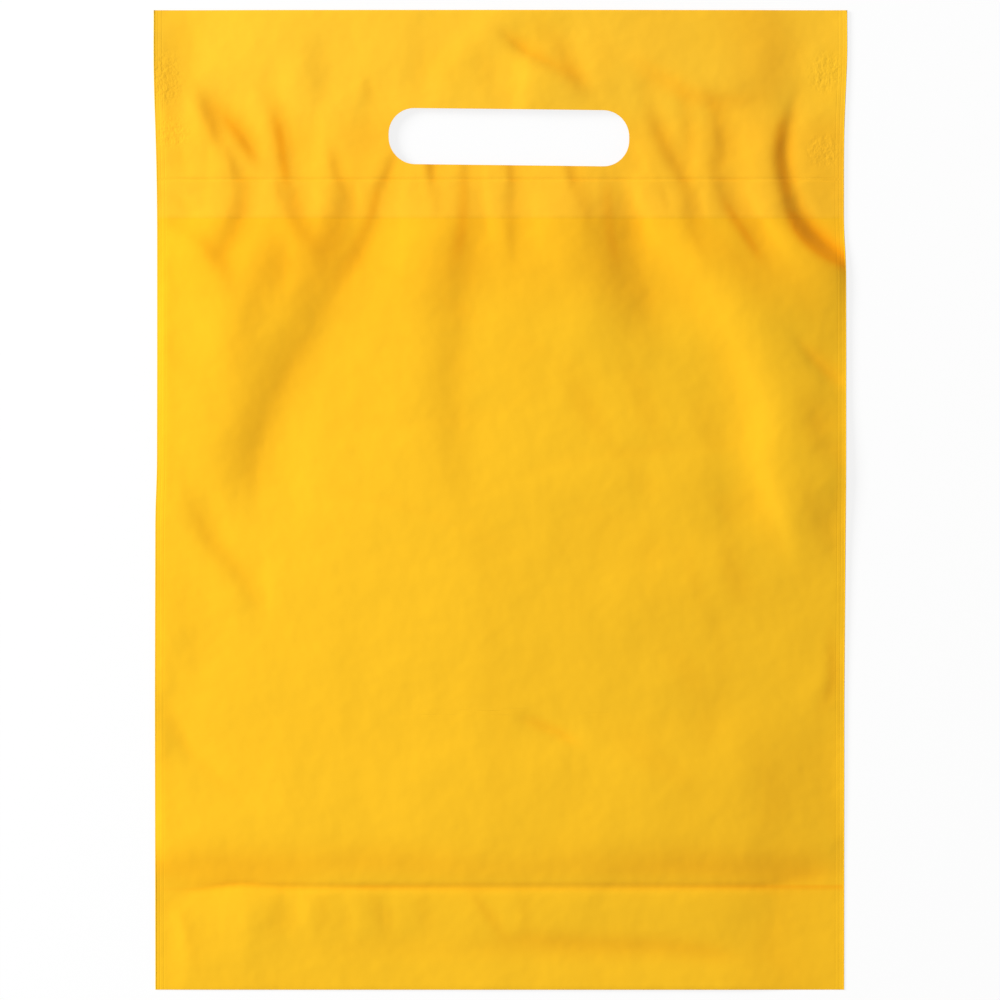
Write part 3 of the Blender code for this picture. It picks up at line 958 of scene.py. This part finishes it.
def vector_node(tree, operation, place, vector):
    """A Vector Math node that works on a place with a fixed vector."""
    node = tree.nodes.new("ShaderNodeVectorMath")
    node.operation = operation
    tree.links.new(place, node.inputs[0])
    node.inputs[1].default_value = vector
    return node.outputs[0]


def mixed_colour(tree, share_socket, first, second):
    """A mix of two colours, each a socket or a tuple."""
    node = tree.nodes.new("ShaderNodeMix")
    node.data_type = "RGBA"
    # A Mix node keeps sockets for every kind of data, and 6 and 7 are those of its colours.
    factor, colour_a, colour_b = node.inputs[0], node.inputs[6], node.inputs[7]
    tree.links.new(share_socket, factor)
    for socket, colour in ((colour_a, first), (colour_b, second)):
        if isinstance(colour, bpy.types.NodeSocket):
            tree.links.new(colour, socket)
        else:
            socket.default_value = colour
    return node.outputs[2]


def noise(tree, place, scale, detail, roughness):
    node = tree.nodes.new("ShaderNodeTexNoise")
    node.inputs["Scale"].default_value = scale
    node.inputs["Detail"].default_value = detail
    node.inputs["Roughness"].default_value = roughness
    tree.links.new(place, node.inputs["Vector"])
    return node.outputs["Fac"]


# %% colour: lighter over the hem, painted shade in the folds, and a faint cloudiness
YELLOW_ONE_LAYER = (0.868, 0.482, 0.012, 1.0)
YELLOW_TWO_LAYERS = (0.882, 0.495, 0.022, 1.0)
# The colour that painted shade mixes towards, in folds, tucks, pressed slopes and the strip a hand
# gathers.
ORANGE_PAINTED_SHADE = (0.870, 0.320, 0.001, 1.0)
CLOUDY = (0.860, 0.458, 0.010, 1.0)
CLOUDS = (14.0, 4.0, 0.6)
CLOUD_GAIN = 1.6


def colour_and_painted_shade_group():
    inputs = [
        ("Place", "NodeSocketVector", (0, 0, 0)),
        ("Hem Behind", "NodeSocketFloat", 0.0),
        ("Painted Shade Mask", "NodeSocketFloat", 0.0),
    ]
    group, start, end = node_group("film_colour_and_painted_shade", inputs, [("Colour", "NodeSocketColor")])
    layered = mixed_colour(group, start.outputs["Hem Behind"], YELLOW_ONE_LAYER, YELLOW_TWO_LAYERS)
    clouds = math_node(group, "SUBTRACT", noise(group, start.outputs["Place"], *CLOUDS), 0.5, clamp=True)
    cloud_share = math_node(group, "MULTIPLY", clouds, CLOUD_GAIN, clamp=True)
    cloudy = mixed_colour(group, cloud_share, layered, CLOUDY)
    # Painted shade: mixed towards a darker orange by the attribute of painted shade.
    orange_shaded = mixed_colour(group, start.outputs["Painted Shade Mask"], cloudy, ORANGE_PAINTED_SHADE)
    group.links.new(orange_shaded, end.inputs["Colour"])
    return group


# %% [markdown]
# ### Marks too fine for the mesh
#
# A bag that has been welded and carried has small marks: a crumple where the rollers of the welding
# machine gripped it, fine lines beside the hot blade, and short level scratches. They are finer than
# the grid, so they are a height for a Bump node. Each sits in an oval patch of the flat film, which
# moves with the film because its place is read from the UV map.

# %% where the marks are, and how strong
ROLLER_PATCHES = (((5, 30), (9, 15)), ((7, 53), (9, 9)), ((291, 27), (9, 11)), ((291, 61), (9, 9)))
ROLLER_GRAIN, ROLLER_GAIN = (430.0, 2.0, 0.6), 2.0
SCUFF_PATCHES = (((21, 313), (11, 7)), ((245, 296), (8, 2)), ((150, 305), (60, 5)))
SCUFF_STRETCH, SCUFF_GRAIN = (45.0, 1500.0, 0), (1.0, 2.0, 0.55)
SCUFF_START, SCUFF_GAIN = 0.60, 6.0
WELD_LINES = (1.9, 3.6)
WELD_LINE_WIDTH = 0.35
UNEVEN, UNEVEN_HEIGHT = (30.0, 3.0, 0.5), 1.2
RIPPLE, RIPPLE_HEIGHT = (95.0, 2.0, 0.5), 0.14
ROLLER_HEIGHT, SCUFF_HEIGHT, WELD_LINE_HEIGHT = 0.40, -0.10, -0.035

# %% each mark as a small chain of nodes


def summed(tree, sockets):
    total = sockets[0]
    for socket in sockets[1:]:
        total = math_node(tree, "ADD", total, socket)
    return total


def patch(tree, place, middle, radii):
    """1 in the middle of an oval patch of the front, given across and down, and 0 at its rim."""
    centre = (middle[0] * MM, (HEM_DEPTH + middle[1]) * MM, 0)
    from_centre = vector_node(tree, "SUBTRACT", place, centre)
    stretched = vector_node(tree, "MULTIPLY", from_centre, (1 / (radii[0] * MM), 1 / (radii[1] * MM), 0))
    length = tree.nodes.new("ShaderNodeVectorMath")
    length.operation = "LENGTH"
    tree.links.new(stretched, length.inputs[0])
    return math_node(tree, "SUBTRACT", 1.0, length.outputs["Value"], clamp=True)


def patches(tree, place, ovals):
    return summed(tree, [patch(tree, place, middle, radii) for middle, radii in ovals])


def roller_marks(tree, place):
    """A fine crumple that the rollers of the welding machine left near the corners."""
    crumple = math_node(tree, "SUBTRACT", noise(tree, place, *ROLLER_GRAIN), 0.5)
    where = math_node(tree, "MULTIPLY", patches(tree, place, ROLLER_PATCHES), ROLLER_GAIN, clamp=True)
    return math_node(tree, "MULTIPLY", crumple, where)


def scuff_marks(tree, place):
    """Short level scratches, where the bag has rubbed on something."""
    scratches = noise(tree, vector_node(tree, "MULTIPLY", place, SCUFF_STRETCH), *SCUFF_GRAIN)
    scratches = math_node(tree, "SUBTRACT", scratches, SCUFF_START)
    scratches = math_node(tree, "MULTIPLY", scratches, SCUFF_GAIN, clamp=True)
    return math_node(tree, "MULTIPLY", scratches, patches(tree, place, SCUFF_PATCHES))


def weld_lines(tree, place):
    """Fine lines pressed beside the side welds."""
    split = tree.nodes.new("ShaderNodeSeparateXYZ")
    tree.links.new(place, split.inputs[0])
    from_right = math_node(tree, "SUBTRACT", WIDTH * MM, split.outputs["X"])
    from_side = math_node(tree, "MINIMUM", split.outputs["X"], from_right)
    lines = []
    for distance in WELD_LINES:
        away = math_node(tree, "ABSOLUTE", math_node(tree, "SUBTRACT", from_side, distance * MM))
        away = math_node(tree, "DIVIDE", away, WELD_LINE_WIDTH * MM)
        lines.append(math_node(tree, "SUBTRACT", 1.0, away, clamp=True))
    return summed(tree, lines)


def film_relief_group():
    inputs = [("Place", "NodeSocketVector", (0, 0, 0))]
    group, start, end = node_group("film_relief", inputs, [("Height", "NodeSocketFloat")])
    place = start.outputs["Place"]
    parts = (
        (noise(group, place, *UNEVEN), UNEVEN_HEIGHT),
        (noise(group, place, *RIPPLE), RIPPLE_HEIGHT),
        (roller_marks(group, place), ROLLER_HEIGHT),
        (scuff_marks(group, place), SCUFF_HEIGHT),
        (weld_lines(group, place), WELD_LINE_HEIGHT),
    )
    total = summed(group, [math_node(group, "MULTIPLY", part, size) for part, size in parts])
    group.links.new(total, end.inputs["Height"])
    return group


# %% [markdown]
# ### One material for the film, and a plain one for the beads
#
# Polyethylene is softly shiny: a middling roughness, and less of a shine than glass or hard plastic
# has. The beads are the same film melted, so they get the same shader with the plain colour. They
# have no UV map and no folds to read.

# %% the film's material
FILM_ROUGHNESS, FILM_IOR, FILM_SHINE = 0.42, 1.5, 0.20
RELIEF_HEIGHT = 0.001


def satin_film(name):
    """A material with the film's shine and its plain colour."""
    material = bpy.data.materials.new(name)
    material.use_nodes = True
    shader = material.node_tree.nodes["Principled BSDF"]
    shader.inputs["Base Color"].default_value = YELLOW_ONE_LAYER
    shader.inputs["Roughness"].default_value = FILM_ROUGHNESS
    shader.inputs["IOR"].default_value = FILM_IOR
    shader.inputs["Specular IOR Level"].default_value = FILM_SHINE
    return material, material.node_tree, shader


def group_node(tree, group, links):
    """Places a group, and links each of its named inputs to a socket."""
    node = tree.nodes.new("ShaderNodeGroup")
    node.node_tree = group
    for name, socket in links.items():
        tree.links.new(socket, node.inputs[name])
    return node


def attribute_value(tree, name):
    node = tree.nodes.new("ShaderNodeAttribute")
    node.attribute_name = name
    return node.outputs["Fac"]


yellow_film, tree, shader = satin_film("yellow_film")
uv = tree.nodes.new("ShaderNodeUVMap")
uv.uv_map = "flat_film"
place = uv.outputs["UV"]
hem_value, painted_shade_value = attribute_value(tree, "hem_behind"), attribute_value(tree, "painted_shade_mask")
colour_links = {"Place": place, "Hem Behind": hem_value, "Painted Shade Mask": painted_shade_value}
colour = group_node(tree, colour_and_painted_shade_group(), colour_links)
tree.links.new(colour.outputs["Colour"], shader.inputs["Base Color"])
relief = group_node(tree, film_relief_group(), {"Place": place})
bump = tree.nodes.new("ShaderNodeBump")
bump.inputs["Distance"].default_value = RELIEF_HEIGHT
tree.links.new(relief.outputs["Height"], bump.inputs["Height"])
tree.links.new(bump.outputs["Normal"], shader.inputs["Normal"])
film.data.materials.append(yellow_film)
print("the film's material has", len(tree.nodes), "nodes")

# %% the beads' material
yellow_weld = satin_film("yellow_weld")[0]
for bead in (left_weld, right_weld):
    bead.data.materials.append(yellow_weld)
    print(bead.name, "is", yellow_weld.name)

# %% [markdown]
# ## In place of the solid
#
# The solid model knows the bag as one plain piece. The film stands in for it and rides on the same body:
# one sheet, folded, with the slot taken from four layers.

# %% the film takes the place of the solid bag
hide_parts("carrier_bag")
for piece in (film, left_weld, right_weld):
    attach(piece, "root")

# %% [markdown]
# ## Floor, light and camera
#
# The photograph shows the bag from straight above on plain white. One large soft lamp stands low at
# the upper left, because only a low light shows creases this shallow, and a dim white sky fills the
# shade. Both floor and sky look white to the eye and light the bag less than they look, since a sky
# as bright as paper would wash the creases out. The lamp is hidden from reflections, so that its
# square doesn't lie as a glare on the satin film in a view from the side.

# %% rays that show a surface to the eye


def looked_at(tree):
    """1 for rays that show the surface to the eye, straight or in a reflection, and 0 for the others."""
    rays = tree.nodes.new("ShaderNodeLightPath")
    seen = math_node(tree, "MAXIMUM", rays.outputs["Is Camera Ray"], rays.outputs["Is Glossy Ray"])
    return math_node(tree, "MAXIMUM", seen, rays.outputs["Is Transmission Ray"])


# %% the floor: white to the eye, and it keeps a faint shadow
FLOOR_SIZE = 6.0
FLOOR_PAINT = 0.80
FLOOR_GLOW, FLOOR_TONE = 0.84, 0.14


def grey_paint(tree, tone):
    paint = tree.nodes.new("ShaderNodeBsdfDiffuse")
    paint.inputs["Color"].default_value = (tone, tone, tone, 1.0)
    return paint.outputs[0]


def floor_material():
    """A pale paint for the light, and for the eye a glow, over a little paint that takes the shadow."""
    material = bpy.data.materials.new("pale_floor")
    material.use_nodes = True
    tree = material.node_tree
    tree.nodes.clear()
    output = tree.nodes.new("ShaderNodeOutputMaterial")
    glow = tree.nodes.new("ShaderNodeEmission")
    glow.inputs["Strength"].default_value = FLOOR_GLOW
    seen = tree.nodes.new("ShaderNodeAddShader")
    tree.links.new(grey_paint(tree, FLOOR_TONE), seen.inputs[0])
    tree.links.new(glow.outputs[0], seen.inputs[1])
    choose = tree.nodes.new("ShaderNodeMixShader")
    tree.links.new(looked_at(tree), choose.inputs[0])
    tree.links.new(grey_paint(tree, FLOOR_PAINT), choose.inputs[1])
    tree.links.new(seen.outputs[0], choose.inputs[2])
    tree.links.new(choose.outputs[0], output.inputs["Surface"])
    return material


bpy.ops.mesh.primitive_plane_add(size=FLOOR_SIZE)
floor = bpy.context.object
floor.name = "floor"
floor.data.materials.append(floor_material())
print("floor of", FLOOR_SIZE, "m")

# %% the lamp
LAMP_AZIMUTH, LAMP_ELEVATION = 160, 30
LAMP_DISTANCE, LAMP_SIZE = 3.8, 1.6
LAMP_POWER = 217.0


def placed(azimuth, elevation, distance):
    flat = distance * math.cos(math.radians(elevation))
    across = flat * math.cos(math.radians(azimuth))
    along = flat * math.sin(math.radians(azimuth))
    return (across, along, distance * math.sin(math.radians(elevation)))


lamp_data = bpy.data.lights.new("soft_lamp", "AREA")
lamp_data.shape = "SQUARE"
lamp_data.size = LAMP_SIZE
lamp_data.energy = LAMP_POWER
lamp = bpy.data.objects.new("soft_lamp", lamp_data)
bpy.context.scene.collection.objects.link(lamp)
lamp.location = placed(LAMP_AZIMUTH, LAMP_ELEVATION, LAMP_DISTANCE)
lamp.rotation_euler = (-lamp.location).to_track_quat("-Z", "Y").to_euler()
lamp.visible_glossy = False
print("lamp at", [round(value, 2) for value in lamp.location])

# %% the sky
SKY_STRENGTH, WHITE = 0.36, 0.97

world = bpy.data.worlds.new("studio")
bpy.context.scene.world = world
world.use_nodes = True
background = world.node_tree.nodes["Background"]
background.inputs["Color"].default_value = (1.0, 1.0, 1.0, 1.0)
extra = math_node(world.node_tree, "MULTIPLY", looked_at(world.node_tree), WHITE - SKY_STRENGTH)
strength = math_node(world.node_tree, "ADD", extra, SKY_STRENGTH)
world.node_tree.links.new(strength, background.inputs["Strength"])
print("the sky lights with", SKY_STRENGTH, "and looks like", WHITE)

# %% the camera, straight above
CAMERA_HEIGHT = 4.0
VIEW_WIDTH = 0.434
SENSOR = 36.0
VIEW_MIDDLE_X = -0.0003

camera_data = bpy.data.cameras.new("camera")
camera_data.sensor_width = SENSOR
camera_data.lens = SENSOR * CAMERA_HEIGHT / VIEW_WIDTH
camera = bpy.data.objects.new("camera", camera_data)
bpy.context.scene.collection.objects.link(camera)
camera.location = (VIEW_MIDDLE_X, 0.0, CAMERA_HEIGHT)
bpy.context.scene.camera = camera
bpy.context.scene.view_settings.view_transform = "Standard"
print("lens of", round(camera_data.lens), "mm")
